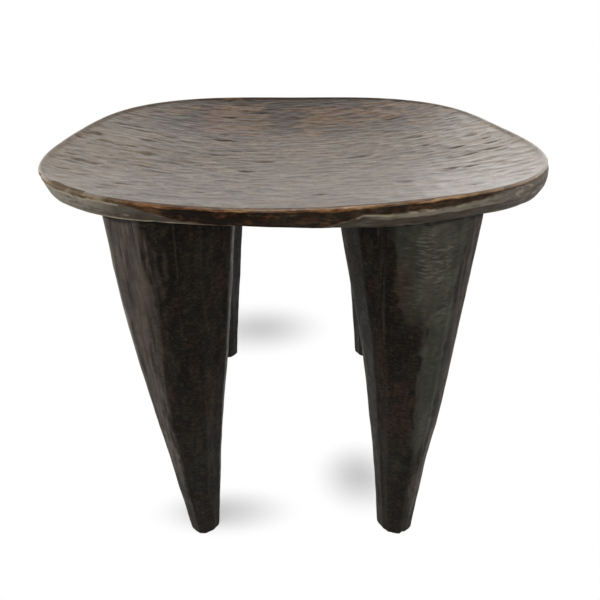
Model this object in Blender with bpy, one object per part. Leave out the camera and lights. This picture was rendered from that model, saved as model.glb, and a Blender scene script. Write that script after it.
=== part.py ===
"""Low stool carved in dark wood: a dished, hand-cut seat on four faceted, tapering legs.

Metres, +Z up, +X along the seat's width, -Y towards the front. The origin is on the floor,
under the middle of the seat's bounding box.
"""

import bpy
import numpy as np

# Seat: overall sizes
SEAT_WIDTH = 0.430  # left to right, over the rim
SEAT_DEPTH = 0.386  # front to back, over the rim
SEAT_HEIGHT = 0.350  # floor to the rim
SEAT_THICKNESS = 0.030  # rim down to the flat of the underside
DISH_DEPTH = 0.014  # middle of the seat below the rim

# Seat: plan outline, a rounded square with the unevenness of a hand-cut rim
SQUARENESS = 2.92  # 2 is an ellipse, larger is squarer
UNEVENNESS = (  # waves in one turn, share of the reach as a cosine, as a sine
    (1, -0.022, -0.002),
    (2, 0.002, -0.019),
    (3, 0.007, -0.008),
    (4, 0.008, -0.006),
    (5, 0.000, -0.021),
)

# Seat: section of the rim
ARRIS_DROP = 0.0025  # height of the worn upper corner
ARRIS_WIDTH = 0.005  # width of the worn upper corner
EDGE_FRONT = 0.0135  # height of the upright edge at front and back
EDGE_SIDE = 0.0185  # height of the upright edge at the two ends
EDGE_UNDERCUT = 0.004  # how far the foot of the edge lies inside the rim
BEVEL_FRONT = 0.050  # how far in from the rim the bevel below ends, at front and back
BEVEL_SIDE = 0.028  # the same at the two ends

# Legs: shared sizes
LEG_SET_BACK = 0.009  # rim to the outer face of the leg's head, front or back
FOOT_EASE = 0.004  # height of the rounded lower edge of the foot
FOOT_EASE_WIDTH = 0.0025
LEG_FACETS = 12  # adze flats around a leg
FACET_CORNERS = 0.030  # share of the half-width by which the flats' corners differ
FACET_SPACING = 0.20  # share of a flat by which the corners are shifted around the leg

# Legs: own sizes, since each was hewn by eye
# overhang: end of the seat to the outer side of the head
# foot_inset: end of the seat to the middle of the foot
# foot_set_back: front or back of the seat to the middle of the foot
# belly: fullness of the upper half, waist: slimness of the lower half
# bow: how far the leg's middle stands outwards of the line from foot to head
# turned: where the flats' corners lie around the leg, in radians
LEFT, RIGHT, FRONT, REAR = -1, 1, -1, 1
LEGS = {
    "leg_front_left": {
        "side": LEFT, "end": FRONT, "overhang": 0.067, "head_width": 0.103, "head_depth": 0.096,
        "foot_width": 0.027, "foot_inset": 0.122, "foot_set_back": 0.043,
        "belly": 0.27, "waist": 0.14, "bow": 0.0025, "turned": 0.20,
    },
    "leg_front_right": {
        "side": RIGHT, "end": FRONT, "overhang": 0.064, "head_width": 0.112, "head_depth": 0.096,
        "foot_width": 0.033, "foot_inset": 0.117, "foot_set_back": 0.043,
        "belly": 0.08, "waist": 0.10, "bow": 0.0030, "turned": 0.55,
    },
    "leg_rear_left": {
        "side": LEFT, "end": REAR, "overhang": 0.061, "head_width": 0.097, "head_depth": 0.096,
        "foot_width": 0.028, "foot_inset": 0.1145, "foot_set_back": 0.039,
        "belly": 0.20, "waist": 0.12, "bow": 0.0, "turned": 0.90,
    },
    "leg_rear_right": {
        "side": RIGHT, "end": REAR, "overhang": 0.063, "head_width": 0.096, "head_depth": 0.096,
        "foot_width": 0.030, "foot_inset": 0.116, "foot_set_back": 0.039,
        "belly": 0.20, "waist": 0.12, "bow": 0.0, "turned": 1.25,
    },
}

# Fit of a leg under the seat
FIT_GAP = 0.0003  # leg's scribed head to the underside
BED_MARGIN = 0.020  # how far the scribing body stands above the rim

# Fineness of the surfaces
OUTLINE_POINTS = 112
DISH_RINGS = (0.16, 0.34, 0.52, 0.68, 0.82, 0.93)
LEG_RINGS = 11

# Colours as linear red, green, blue
SEAT_COLOUR = (0.168, 0.138, 0.122)
LEG_COLOUR = (0.022, 0.017, 0.013)


def clear_scene():
    """Remove everything the start-up scene holds."""
    for item in list(bpy.data.objects):
        bpy.data.objects.remove(item)


def wood(name, colour, roughness):
    """A plain wood finish."""
    finish = bpy.data.materials.new(name)
    finish.use_nodes = True
    shader = finish.node_tree.nodes["Principled BSDF"]
    shader.inputs["Base Color"].default_value = (*colour, 1)
    shader.inputs["Roughness"].default_value = roughness
    shader.inputs["Metallic"].default_value = 0
    return finish


def plan_outline(turn):
    """Unit outline of the rim: x and y for each angle, before it is brought to size."""
    cosine, sine = np.cos(turn), np.sin(turn)
    shape = abs(cosine) ** SQUARENESS + abs(sine / (SEAT_DEPTH / SEAT_WIDTH)) ** SQUARENESS
    reach = shape ** (-1 / SQUARENESS)
    for waves, as_cosine, as_sine in UNEVENNESS:
        reach = reach * (1 + as_cosine * np.cos(waves * turn) + as_sine * np.sin(waves * turn))
    return reach * cosine, reach * sine


def to_size(values, size):
    """Shift and stretch values so that they span the size, centred on zero."""
    low, high = values.min(), values.max()
    return (values - (low + high) / 2) * size / (high - low)


def rim_points():
    """The rim seen from above, as an array of x, y that runs anticlockwise."""
    turn = np.linspace(0, 2 * np.pi, OUTLINE_POINTS, endpoint=False)
    x, y = plan_outline(turn)
    return np.stack([to_size(x, SEAT_WIDTH), to_size(y, SEAT_DEPTH)], axis=1)


RIM = rim_points()
REACH = np.hypot(RIM[:, 0], RIM[:, 1])
DIRECTION = RIM / REACH[:, None]
SIDEWAYS = DIRECTION[:, 0] ** 2  # 1 at the two ends, 0 at front and back
EDGE = EDGE_FRONT + (EDGE_SIDE - EDGE_FRONT) * SIDEWAYS
BEVEL = BEVEL_FRONT + (BEVEL_SIDE - BEVEL_FRONT) * SIDEWAYS


def ring(reach, height):
    """Points around the seat at a reach from the middle and a height, each a value or an array."""
    plan = DIRECTION * np.broadcast_to(reach, REACH.shape)[:, None]
    level = np.broadcast_to(height, REACH.shape)
    return np.column_stack([plan, level])


def loft(name, rings, finish=None):
    """A closed body through rings of equal count, from the lowest up, each anticlockwise."""
    count = len(rings[0])
    points = np.concatenate(rings)
    step = np.arange(count)
    after = (step + 1) % count
    faces = []
    for level in range(len(rings) - 1):
        low, high = level * count, (level + 1) * count
        faces += np.stack([low + step, low + after, high + after, high + step], axis=1).tolist()
    faces.append(step[::-1].tolist())
    faces.append((len(points) - count + step).tolist())
    mesh = bpy.data.meshes.new(name)
    mesh.from_pydata(points.tolist(), [], faces)
    item = bpy.data.objects.new(name, mesh)
    bpy.context.scene.collection.objects.link(item)
    if finish:
        mesh.materials.append(finish)
    return item


def dish_height(share):
    """Height of the dished top at a share of the way from the middle to the worn corner."""
    return SEAT_HEIGHT - DISH_DEPTH * (1 - share**2) ** 1.25


def make_seat(finish):
    """The seat: flat underside, bevel, undercut edge, worn corner, then the dish."""
    underside = SEAT_HEIGHT - SEAT_THICKNESS
    inner = REACH - ARRIS_WIDTH
    rings = [
        ring((REACH - BEVEL) * 0.5, underside),
        ring(REACH - BEVEL, underside),
        ring(REACH - EDGE_UNDERCUT, SEAT_HEIGHT - EDGE),
        ring(REACH, SEAT_HEIGHT - ARRIS_DROP),
        ring(inner, SEAT_HEIGHT),
    ]
    for share in reversed(DISH_RINGS):
        rings.append(ring(inner * share, dish_height(share)))
    seat = loft("seat", rings, finish)
    seat.data.shade_smooth()
    seat.data.set_sharp_from_angle(angle=np.radians(22))
    return seat


def make_bed():
    """The body that scribes the legs' heads: all that lies above the underside, less the gap."""
    underside = SEAT_HEIGHT - SEAT_THICKNESS - FIT_GAP
    edge_foot = SEAT_HEIGHT - EDGE - FIT_GAP
    top = SEAT_HEIGHT + BED_MARGIN
    rings = [
        ring((REACH - BEVEL) * 0.5, underside),
        ring(REACH - BEVEL, underside),
        ring(REACH - EDGE_UNDERCUT, edge_foot),
        ring(REACH, top),
    ]
    bed = loft("underside_bed", rings)
    bed.hide_render = True
    bed.display_type = "WIRE"
    return bed


def rim_depth(x, end):
    """Distance from the middle line to the rim at front or back, at a place along the width."""
    half = RIM[RIM[:, 1] * end > 0]
    order = np.argsort(half[:, 0])
    return np.interp(x, half[order, 0], abs(half[order, 1]))


def leg_swell(share, belly, waist):
    """How far a leg has grown from foot to head, 0 to 1, at a share of its height."""
    return share ** (1 + waist) * (1 + belly * (1 - share**2))


def facet_section(turned):
    """Corners of a leg's section for a half-width of one: a polygon with uneven flats."""
    corner = np.arange(LEG_FACETS)
    shifted = corner + FACET_SPACING * np.sin(2.4 * corner + turned)
    angle = 2 * np.pi * shifted / LEG_FACETS + turned
    reach = 1 + FACET_CORNERS * np.sin(1.7 * corner + 2 * turned)
    return np.stack([reach * np.cos(angle), reach * np.sin(angle)], axis=1)


def make_leg(name, size, bed, finish):
    """One leg: a faceted loft from a flat foot to a head scribed to the seat's underside."""
    side, end = size["side"], size["end"]
    head_half = np.array([size["head_width"], size["head_depth"]]) / 2
    foot_half = np.array([size["foot_width"], size["foot_width"]]) / 2
    head_x = side * (SEAT_WIDTH / 2 - size["overhang"] - head_half[0])
    head_y = end * (rim_depth(head_x, end) - LEG_SET_BACK - head_half[1])
    head = np.array([head_x, head_y])
    foot_x = side * (SEAT_WIDTH / 2 - size["foot_inset"])
    foot_y = end * (SEAT_DEPTH / 2 - size["foot_set_back"])
    foot = np.array([foot_x, foot_y])
    section = facet_section(size["turned"])

    underside = SEAT_HEIGHT - SEAT_THICKNESS
    heights = np.linspace(FOOT_EASE, underside, LEG_RINGS)
    rings = [np.column_stack([section * (foot_half - FOOT_EASE_WIDTH) + foot, np.zeros(LEG_FACETS)])]
    for height in [*heights, SEAT_HEIGHT]:
        share = min(height / underside, 1)
        swell = leg_swell(share, size["belly"], size["waist"])
        half = foot_half + (head_half - foot_half) * swell
        middle = foot + (head - foot) * share
        middle = middle + [side * size["bow"] * np.sin(np.pi * share), 0]
        rings.append(np.column_stack([section * half + middle, np.full(LEG_FACETS, height)]))
    leg = loft(name, rings, finish)
    cut = leg.modifiers.new("scribe_to_underside", "BOOLEAN")
    cut.operation = "DIFFERENCE"
    cut.solver = "EXACT"
    cut.object = bed
    print(name, "foot", foot.round(4), "head", head.round(4))
    return leg


clear_scene()
seat_wood = wood("seat_wood", SEAT_COLOUR, 0.45)
leg_wood = wood("leg_wood", LEG_COLOUR, 0.50)
make_seat(seat_wood)
underside_bed = make_bed()
for leg_name, leg_size in LEGS.items():
    make_leg(leg_name, leg_size, underside_bed, leg_wood)
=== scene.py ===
# %% [markdown]
# # A carved stool
# A low stool cut from one block of dark wood: a dished seat with an undercut rim, on four hewn
# legs. The construction gives the true sizes as plain solids. This lesson lays the carver's work
# over them: the strokes of the adze, the worn corner of the rim, the flats on the legs and the
# colours that years of handling have left.

import bpy
import numpy as np
from mathutils import Matrix, Vector


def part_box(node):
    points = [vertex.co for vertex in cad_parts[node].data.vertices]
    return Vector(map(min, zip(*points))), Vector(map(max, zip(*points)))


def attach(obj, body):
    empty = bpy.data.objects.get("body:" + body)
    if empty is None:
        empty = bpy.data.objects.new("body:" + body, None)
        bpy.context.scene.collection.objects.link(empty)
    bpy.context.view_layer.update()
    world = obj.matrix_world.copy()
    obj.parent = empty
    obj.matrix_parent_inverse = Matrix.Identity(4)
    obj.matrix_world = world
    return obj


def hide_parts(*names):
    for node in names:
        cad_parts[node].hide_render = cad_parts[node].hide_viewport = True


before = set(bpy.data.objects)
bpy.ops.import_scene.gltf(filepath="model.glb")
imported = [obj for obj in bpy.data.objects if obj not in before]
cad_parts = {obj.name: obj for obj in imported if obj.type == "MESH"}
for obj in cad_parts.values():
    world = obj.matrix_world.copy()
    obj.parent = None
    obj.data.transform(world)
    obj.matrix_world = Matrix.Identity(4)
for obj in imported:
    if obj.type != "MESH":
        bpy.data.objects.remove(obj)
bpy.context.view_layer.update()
scene = bpy.context.scene
scene.view_settings.view_transform = "Standard"

# %% [markdown]
# ## Camera
# The photograph was taken from close by, a little above the seat, with a lens about as wide as a
# phone's. The camera's axes are built from its pitch and roll, so that no rotation has to be
# guessed by hand.

# %% Camera: at the photograph's place
CAMERA_PLACE = (0.0054, -0.5672, 0.4915)  # metres
CAMERA_PITCH = np.radians(29.3)  # below the horizon
CAMERA_ROLL = np.radians(-0.7)
CAMERA_LENS = 36  # millimetres
SENSOR_WIDTH = 36

right = np.array([1, 0, 0])
ahead = np.array([0, np.cos(CAMERA_PITCH), -np.sin(CAMERA_PITCH)])
down = np.array([0, -np.sin(CAMERA_PITCH), -np.cos(CAMERA_PITCH)])
image_right = right * np.cos(CAMERA_ROLL) - down * np.sin(CAMERA_ROLL)
image_up = -right * np.sin(CAMERA_ROLL) - down * np.cos(CAMERA_ROLL)
lens = bpy.data.cameras.new("camera")
lens.lens = CAMERA_LENS
lens.sensor_width = SENSOR_WIDTH
camera = bpy.data.objects.new("camera", lens)
turned = np.column_stack([image_right, image_up, -ahead])
camera.matrix_world = Matrix.Translation(CAMERA_PLACE) @ Matrix(turned.tolist()).to_4x4()
scene.collection.objects.link(camera)
scene.camera = camera
print("camera at", CAMERA_PLACE, "pitch", round(np.degrees(CAMERA_PITCH), 1))

# %% [markdown]
# ## Two small helpers
# Colours are written as the hex values that a screen shows and turned to linear light by one
# function. A second function adds a shader node: plain settings go on the node, and each entry of
# `inputs` is either a value for that socket or another node's output to link.


# %% Helpers: colour and shader node
def linear(colour):
    """Hex colour to linear light: each channel by the sRGB curve."""
    code = np.array([int(colour[i : i + 2], 16) for i in (1, 3, 5)]) / 255
    light = np.where(code <= 0.04045, code / 12.92, ((code + 0.055) / 1.055) ** 2.4)
    return (*light.tolist(), 1.0)


def add(tree, kind, inputs=None, out=None, **settings):
    """Add a node with its settings, set or link its inputs, and give back the node or one output."""
    node = tree.nodes.new("ShaderNode" + kind)
    for name, value in settings.items():
        setattr(node, name, value)
    for socket, value in (inputs or {}).items():
        if isinstance(value, bpy.types.NodeSocket):
            tree.links.new(value, node.inputs[socket])
        else:
            node.inputs[socket].default_value = value
    return node if out is None else node.outputs[out]


LARGER = {"operation": "MAXIMUM", "out": 0}
TIMES = {"operation": "MULTIPLY", "out": 0}
EASED = {"interpolation_type": "SMOOTHSTEP", "out": 0}  # sockets 1 and 2 to sockets 3 and 4
BLENDED = {"data_type": "RGBA", "out": 2}  # colours in sockets 6 and 7, share in socket 0
print("mid grey", round(linear("#808080")[0], 3))

# %% [markdown]
# ## Floor and light
# The stool stands on white, with a small soft shadow beside three of its feet. The floor is a plain
# pale sheet. For what the camera and reflections see, it is lifted part of the way to white beside
# those feet and all the way further off, so only those shadows stay. The room is white low and at the
# sides, and darker and a little warmer overhead, so the far slope of the dish mirrors less light than
# the near one. Soft panels give the seat and the legs their pale edges.

# %% Floor: a pale sheet that keeps a faint shadow
FLOOR_SIDE = 24.0
FLOOR_LIFT = 0.36  # share of white in what is seen beside a foot
PAPER, WHITE = "#f6f9fd", "#ffffff"
SOLE = 0.001  # a foot's points lie below this height
SHADOWS = {  # from a foot to its shadow and the shadow's half-sizes, metres
    "leg_front_left": ((0.018, 0.016, 0), (0.085, 0.036, 1)),
    "leg_front_right": ((-0.03, 0.062, 0), (0.056, 0.062, 1)),
    "leg_rear_left": ((0.042, 0.07, 0), (0.12, 0.085, 1)),
}


def points_of(node):
    """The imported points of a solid, as an array of rows."""
    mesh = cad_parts[node].data
    flat = np.empty(len(mesh.vertices) * 3)
    mesh.vertices.foreach_get("co", flat)
    return flat.reshape(-1, 3)


floor_mesh = bpy.data.meshes.new("floor")
far = FLOOR_SIDE / 2
floor_mesh.from_pydata([(-far, -far, 0), (far, -far, 0), (far, far, 0), (-far, far, 0)], [], [(0, 1, 2, 3)])
floor = bpy.data.objects.new("floor", floor_mesh)
scene.collection.objects.link(floor)

paper = bpy.data.materials.new("pale_paper")
paper.use_nodes = True
tree = paper.node_tree
tree.nodes.clear()
path = add(tree, "LightPath").outputs
seen = add(tree, "Math", {0: path["Is Camera Ray"], 1: path["Is Glossy Ray"]}, **LARGER)
seen = add(tree, "Math", {0: seen, 1: path["Is Transmission Ray"]}, **LARGER)
place = add(tree, "TexCoord", out="Object")
away = 9.0  # further than any shadow reaches, in half-sizes
for node, (shift, half) in SHADOWS.items():
    points = points_of(node)
    pool = points[points[:, 2] < SOLE].mean(axis=0) + shift
    off = add(tree, "VectorMath", {0: place, 1: pool.tolist()}, out=0, operation="SUBTRACT")
    off = add(tree, "VectorMath", {0: off, 1: half}, out=0, operation="DIVIDE")
    apart = add(tree, "VectorMath", {0: off}, out="Value", operation="LENGTH")
    away = add(tree, "Math", {0: away, 1: apart}, out=0, operation="MINIMUM")
lift = add(tree, "MapRange", {0: away, 3: FLOOR_LIFT, 4: 1.0}, **EASED)
lift = add(tree, "Math", {0: seen, 1: lift}, **TIMES)
matt = add(tree, "BsdfDiffuse", {"Color": linear(PAPER)}, out=0)
glow = add(tree, "Emission", {"Color": linear(WHITE), "Strength": 1.0}, out=0)
both = add(tree, "MixShader", {0: lift, 1: matt, 2: glow}, out=0)
add(tree, "OutputMaterial", {"Surface": both})
floor_mesh.materials.append(paper)
print("floor", FLOOR_SIDE, "m across")

# %% Light: a white room, darker overhead, and soft panels
ROOM_LOW, ROOM_HIGH = 1.0, 0.12  # light from near the floor and from overhead
ROOM_TURN = (0.22, 0.46)  # height of a unit direction over which one becomes the other
ROOM_SIDES = 0.24  # how much higher the light reaches at the sides
ROOM_WARM = "#ffecd6"  # colour of the light from overhead
PANELS = {  # place and aim in metres, side in metres, watts
    "panel_over": ((0.1, -0.45, 1.9), (0, 0, 0.3), 1.4, 13),
    "panel_left": ((-1.6, 0.3, 0.7), (0, 0, 0.25), 1.0, 8),
    "panel_right": ((1.1, 1.9, 0.8), (0, 0, 0.3), 1.2, 4.5),
}

world = bpy.data.worlds.new("white_room")
scene.world = world
world.use_nodes = True
tree = world.node_tree
tree.nodes.clear()
direction = add(tree, "TexCoord", out="Generated")
parts = add(tree, "SeparateXYZ", {0: direction}).outputs
aside = add(tree, "Math", {0: parts["X"]}, out=0, operation="ABSOLUTE")
aside = add(tree, "Math", {0: aside, 1: ROOM_SIDES}, **TIMES)
height = add(tree, "Math", {0: parts["Z"], 1: aside}, out=0, operation="SUBTRACT")
risen = add(tree, "MapRange", {0: height, 1: ROOM_TURN[0], 2: ROOM_TURN[1]}, **EASED)
level = add(tree, "MapRange", {0: risen, 3: ROOM_LOW, 4: ROOM_HIGH}, out=0)
tint = add(tree, "Mix", {0: risen, 6: linear(WHITE), 7: linear(ROOM_WARM)}, **BLENDED)
sky = add(tree, "Background", {"Color": tint, "Strength": level}, out=0)
add(tree, "OutputWorld", {"Surface": sky})

for name, (place, aim, side, watts) in PANELS.items():
    lamp = bpy.data.lights.new(name, "AREA")
    lamp.shape = "SQUARE"
    lamp.size = side
    lamp.energy = watts
    panel = bpy.data.objects.new(name, lamp)
    back = Vector(place) - Vector(aim)
    panel.matrix_world = Matrix.Translation(place) @ back.to_track_quat("Z", "Y").to_matrix().to_4x4()
    panel.visible_camera = False
    panel.visible_glossy = name != "panel_left"  # it would glare on the seat seen from its end
    scene.collection.objects.link(panel)
print("panels", list(PANELS))

# %% [markdown]
# ## How a carver's strokes are drawn
# Every stroke of an adze leaves a shallow scoop, and where scoops meet a low ridge stands. That is
# the lower envelope of many shallow bowls. The surface is divided into cells, each cell holds one
# bowl at a jittered place, and every point takes the lowest of the nine bowls around it. Where the
# tool's corner bit deeper it left a narrow dash: those are drawn from the same kind of cells.


# %% Strokes: hashed cells, scoops, bites and soft noise
NEIGHBOURS = [(i, j) for i in (-1, 0, 1) for j in (-1, 0, 1)]
MARGIN, JITTER = 0.15, 0.7  # a bowl's middle lies past this share of its cell, by up to that much
BOWL_LIFT = 0.25  # how much higher some bowls lie, in squared cells
RIDGE = 0.35  # difference between the two lowest bowls at which a ridge begins
BRIM = 0.8  # height of the uncut wood over a bowl's floor, in squared cells
SMALLEST = 0.45  # share of the largest dash's size that the smallest has


def scatter(column, row, seed):
    """A steady number from 0 to 1 for each cell: the fraction of a large multiple of a sine."""
    wave = np.sin(column * 127.1 + row * 311.7 + seed * 74.7) * 43758.5453
    return wave - np.floor(wave)


def scoops(along, across, seed, around=None, soft=0.15):
    """Lower envelope of bowls, one in each unit cell, with ridges rounded by soft.

    along and across are in cells. around is the number of cells after which along repeats.
    Returns the height over the bowls' floors, nearness to a ridge, and each stroke's tone.
    """
    column, row = np.floor(along), np.floor(across)
    lowest = np.full(along.shape, 9.0)
    second = np.full(along.shape, 9.0)
    tone = np.zeros(along.shape)
    for step_along, step_across in NEIGHBOURS:
        c, r = column + step_along, row + step_across
        key = c % around if around else c
        bowl = (along - c - MARGIN - JITTER * scatter(key, r, seed)) ** 2
        bowl = bowl + (across - r - MARGIN - JITTER * scatter(key, r, seed + 1)) ** 2
        bowl = bowl + BOWL_LIFT * scatter(key, r, seed + 2)
        nearer = bowl < lowest
        second = np.where(nearer, lowest, np.minimum(second, bowl))
        tone = np.where(nearer, scatter(key, r, seed + 3), tone)
        lowest = np.where(nearer, bowl, lowest)
    apart = second - lowest
    rounded = lowest - soft * np.clip(1 - apart / soft, 0, 1) ** 2 / 4
    return rounded, np.clip(1 - apart / RIDGE, 0, 1), tone


def bites(along, across, seed, length=0.45, width=0.16, share=0.6):
    """Narrow dashes, at most one in each unit cell: an inverted paraboloid on an ellipse.

    length and width are the largest half-sizes in cells, and share of the cells hold a dash.
    """
    column, row = np.floor(along), np.floor(across)
    deepest = np.zeros(along.shape)
    for step_along, step_across in NEIGHBOURS:
        c, r = column + step_along, row + step_across
        half_length = length * (SMALLEST + (1 - SMALLEST) * scatter(c, r, seed + 2))
        half_width = width * (SMALLEST + (1 - SMALLEST) * scatter(c, r, seed + 3))
        off_along = (along - c - scatter(c, r, seed)) / half_length
        off_across = (across - r - scatter(c, r, seed + 1)) / half_width
        strength = np.clip((share - scatter(c, r, seed + 4)) / share, 0, 1) ** 0.5
        deepest = np.maximum(deepest, strength * np.clip(1 - off_along**2 - off_across**2, 0, 1))
    return deepest


def ease(share):
    """Smooth step from 0 to 1: three squares less two cubes."""
    share = np.clip(share, 0, 1)
    return share * share * (3 - 2 * share)


def rise(value, low, high):
    """The smooth step of a value that is 0 at low and 1 at high, whichever of the two is larger."""
    return ease((value - low) / (high - low))


def bell(off, half):
    """Bell curve: 1 in the middle, falling with the square of the distance in half-widths."""
    return np.exp(-((off / half) ** 2))


def mottle(across, up, seed):
    """Soft noise from 0 to 1 with one blob per unit: cell corners' numbers, eased between."""
    column, row = np.floor(across), np.floor(up)
    s, t = ease(across - column), ease(up - row)
    low = scatter(column, row, seed) * (1 - s) + scatter(column + 1, row, seed) * s
    high = scatter(column, row + 1, seed) * (1 - s) + scatter(column + 1, row + 1, seed) * s
    return low * (1 - t) + high * t


print("scatter", scatter(np.arange(4.0), 0.0, 1).round(2))

# %% [markdown]
# ## The seat's plan and section
# The rim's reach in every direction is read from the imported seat, with a few slow swells added where
# it was cut fuller. The section follows the solids: a worn upper corner, an upright edge that leans
# in, a bevel below it and a flat underside. Edge and bevel change from the front to the ends.

# %% Plan: the rim read from the seat's own points
seat_low, seat_high = (np.array(c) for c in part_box("seat"))
RIM_HEIGHT = seat_high[2]
THICKNESS = seat_high[2] - seat_low[2]
CORNER_DROP = 0.0025
CORNER_WIDTH = 0.003
EDGE_FRONT, EDGE_SIDE = 0.0135, 0.0185
EDGE_LEAN = 0.0028  # the right-hand end is cut deeper than the left one
EDGE_SAGS = (  # cosine of the direction, half-width, drop
    (0.1, 0.17, 0.0014), (0.4, 0.22, 0.0042), (0.84, 0.18, 0.0026), (-0.62, 0.2, 0.0018),
)
RIM_SWELLS = (  # direction and half-width in degrees, how much fuller
    (28, 20, 0.0032), (-4, 12, 0.0012), (150, 22, 0.0016), (178, 14, 0.0008),
)
EDGE_UNDERCUT = 0.004
BEVEL_FRONT, BEVEL_SIDE = 0.05, 0.028
DISH_DEPTH = 0.014


points = points_of("seat")
on_rim = points[abs(points[:, 2] - (RIM_HEIGHT - CORNER_DROP)) < 1e-4]
rim_turn = np.arctan2(on_rim[:, 1], on_rim[:, 0])
rim_far = np.hypot(on_rim[:, 0], on_rim[:, 1])
rim_far = rim_far[np.argsort(rim_turn)]
rim_turn = np.sort(rim_turn)


def reach_of(turn):
    """Reach of the rim in a direction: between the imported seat's rim points, plus a bell per swell."""
    reach = np.interp(turn, rim_turn, rim_far, period=2 * np.pi)
    for middle, half, more in RIM_SWELLS:
        away = (np.degrees(turn) - middle + 180) % 360 - 180
        reach = reach + more * bell(away, half)
    return reach


def edge_of(turn):
    """Height of the upright edge: two values shared by the squared cosine of the direction.

    A cosine makes the right end deeper, and bells along the front half add the sags.
    """
    across = np.cos(turn)
    front = rise(np.sin(turn), 0.25, -0.25)
    sag = front * sum(more * bell(across - middle, half) for middle, half, more in EDGE_SAGS)
    return EDGE_FRONT + (EDGE_SIDE - EDGE_FRONT) * across**2 + EDGE_LEAN * across * abs(across) + sag


def bevel_of(turn):
    """How far in the bevel ends, shared between front and ends in the same way."""
    return BEVEL_FRONT + (BEVEL_SIDE - BEVEL_FRONT) * np.cos(turn) ** 2


def underside_of(x, y):
    """Height of the seat's underside: flat in the middle, then rising along the bevel."""
    turn = np.arctan2(y, x)
    inset = reach_of(turn) - np.hypot(x, y)
    share = np.clip((bevel_of(turn) - inset) / (bevel_of(turn) - EDGE_UNDERCUT), 0, 1)
    return RIM_HEIGHT - THICKNESS + share * (THICKNESS - edge_of(turn))


print("rim points", len(on_rim), "reach", rim_far.min().round(4), "to", rim_far.max().round(4))

# %% [markdown]
# ## The seat
# A square grid is wrapped onto the rounded plan, ring by ring, so the cells stay even and there is
# no pole in the middle of the seat. Its outer ring then runs down over the corner, the edge and the
# bevel, and in along the underside to a point. The strokes on the top run along the width and bend
# with the front rim. The boldest bites lie where the photograph shows them: a ray through each end is
# followed from the camera to the seat. Dents and a ragged corner break the edge.

# %% Seat: plan grid
GRID = 221  # points along one side of the square

side = np.linspace(-1, 1, GRID)
a, b = np.meshgrid(side, side, indexing="ij")
ring_share = np.maximum(abs(a), abs(b))
wide = abs(a) >= abs(b)
larger, smaller = np.where(wide, a, b), np.where(wide, b, a)
eighth = np.divide(smaller, larger, out=np.zeros_like(a), where=ring_share > 0) * np.pi / 4
sideways = np.where(a >= 0, eighth, np.pi + eighth)
endways = np.where(b >= 0, np.pi / 2 - eighth, 1.5 * np.pi - eighth)
turn = np.where(wide, sideways, endways)
top_reach = (reach_of(turn) - CORNER_WIDTH) * ring_share
top_x, top_y = top_reach * np.cos(turn), top_reach * np.sin(turn)

index = np.arange(GRID * GRID).reshape(GRID, GRID)
ring = np.concatenate([index[-1, :-1], index[:0:-1, -1], index[0, :0:-1], index[:-1, 0]])
ring_turn = np.unwrap(turn.ravel()[ring])
print("ring", len(ring), "turns", round((ring_turn[-1] - ring_turn[0]) / (2 * np.pi), 2))

# %% Seat: strokes on the dished top
STROKE_BEND = 1.2  # how strokes bend with the front rim: depth per width squared, per metre
SCOOP_LENGTH, SCOOP_WIDTH, SCOOP_DEPTH = 0.016, 0.0085, 0.0008
BITE_LENGTH, BITE_WIDTH, BITE_DEPTH = 0.034, 0.015, 0.0008
BOLD_MARKS = (  # the boldest bites as they show in the photograph, in pixels: left end, right end, height
    (150, 176, 140), (126, 140, 147), (133, 162, 153), (252, 278, 154), (238, 255, 165), (68, 102, 166),
    (252, 270, 114), (224, 237, 117), (211, 231, 135), (380, 400, 119), (398, 426, 136), (459, 476, 139),
    (130, 160, 112), (345, 375, 150), (310, 330, 198), (395, 415, 183),
)
PHOTO_SIDE = 600  # pixels
MARK_DEPTH = 0.008  # how far below the rim the dish lies where most of them are
BOLD_SPARE = 0.002  # how far a bite runs on, too shallow to show, at each end
BOLD_WIDTH, BOLD_SHARE = 0.0048, 0.8
SWAY, SWAY_SIZE = 0.012, 0.05  # how far the strokes wander from straight, and over what length
CROWD_SIZE, CROWD_LEAST = (0.08, 0.06), 0.35  # where bites are many or few
HOLLOW_SIZE, HOLLOW_DEPTH = 0.07, 0.0012  # broad unevenness
DISH_POWER = 1.08  # the dish slopes right up to the rim
UNCUT = 0.975  # share of the way out from which the carving fades
FINE_SHARE = 0.4  # depth of the fine bites beside the others


def seat_place(across, down):
    """Place in plan where the ray through a pixel of the photograph meets the level of the dish."""
    sight = PHOTO_SIDE * CAMERA_LENS / SENSOR_WIDTH
    middle = PHOTO_SIDE / 2
    ray = ahead + ((across - middle) * image_right - (down - middle) * image_up) / sight
    far = (RIM_HEIGHT - MARK_DEPTH - CAMERA_PLACE[2]) / ray[2]
    return (CAMERA_PLACE + far * ray)[:2]


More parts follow.
